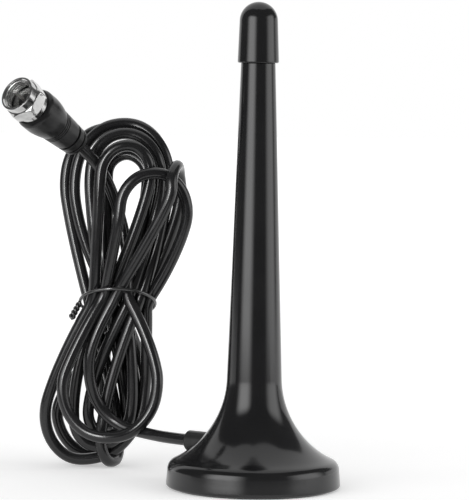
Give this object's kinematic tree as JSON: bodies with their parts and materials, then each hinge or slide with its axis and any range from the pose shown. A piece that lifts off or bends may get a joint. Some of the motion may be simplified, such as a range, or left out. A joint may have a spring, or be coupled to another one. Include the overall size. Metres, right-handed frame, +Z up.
{
  "type": "radio antenna",
  "caption": "Short tapered radio antenna on a round magnetic foot, with a tied coax lead and a screw plug with a free turning nut.",
  "frame": {"origin": "centre of the foot's underside, on the surface that it stands on", "axes": "+Z up along the mast, -Y towards the side that the picture was taken from, the tied lead on the -X +Y side"},
  "size_m": [0.0982, 0.0774, 0.1385],
  "materials": {
    "mast_black": "glossy moulded black",
    "pad_black": "matte pad",
    "ferrite_grey": "sintered dark grey",
    "plate_steel": "zinc plated",
    "former_white": "moulded natural white",
    "whip_steel": "drawn rod",
    "wire_copper": "bare copper",
    "braid_tinned": "tinned braid",
    "gland_black": "satin moulded black",
    "cable_black": "satin extruded jacket",
    "dielectric_white": "translucent white",
    "tie_black": "coated wire",
    "boot_black": "satin moulded black",
    "plug_nickel": "bright nickel plate",
    "bead_black": "moulded black",
    "pin_tinned": "tinned"
  },
  "bodies": {
    "antenna": {"mast_housing": "mast_black", "tip_cap": "mast_black", "base_pad": "pad_black", "magnet": "ferrite_grey", "ground_plate": "plate_steel", "coil_former": "former_white", "whip_rod": "whip_steel", "loading_coil": "wire_copper", "cable_gland": "gland_black", "coax_lead": "cable_black", "coax_dielectric": "dielectric_white", "feed_core": "wire_copper", "braid_pigtail": "braid_tinned", "cable_hank": "cable_black", "twist_tie": "tie_black", "coax_tail": "cable_black", "connector_boot": "boot_black", "connector_sleeve": "plug_nickel", "connector_post": "plug_nickel", "connector_insulator": "bead_black", "centre_pin": "pin_tinned"},
    "coupling_nut": {"coupling_nut": "plug_nickel"}
  },
  "joints": [
    {"name": "nut_spin", "type": "hinge", "parent": "antenna", "child": "coupling_nut", "pos_m": [-0.06655, 0.00741, 0.10961], "axis": [-0.5222, -0.7062, 0.4781], "continuous": true}
  ]
}
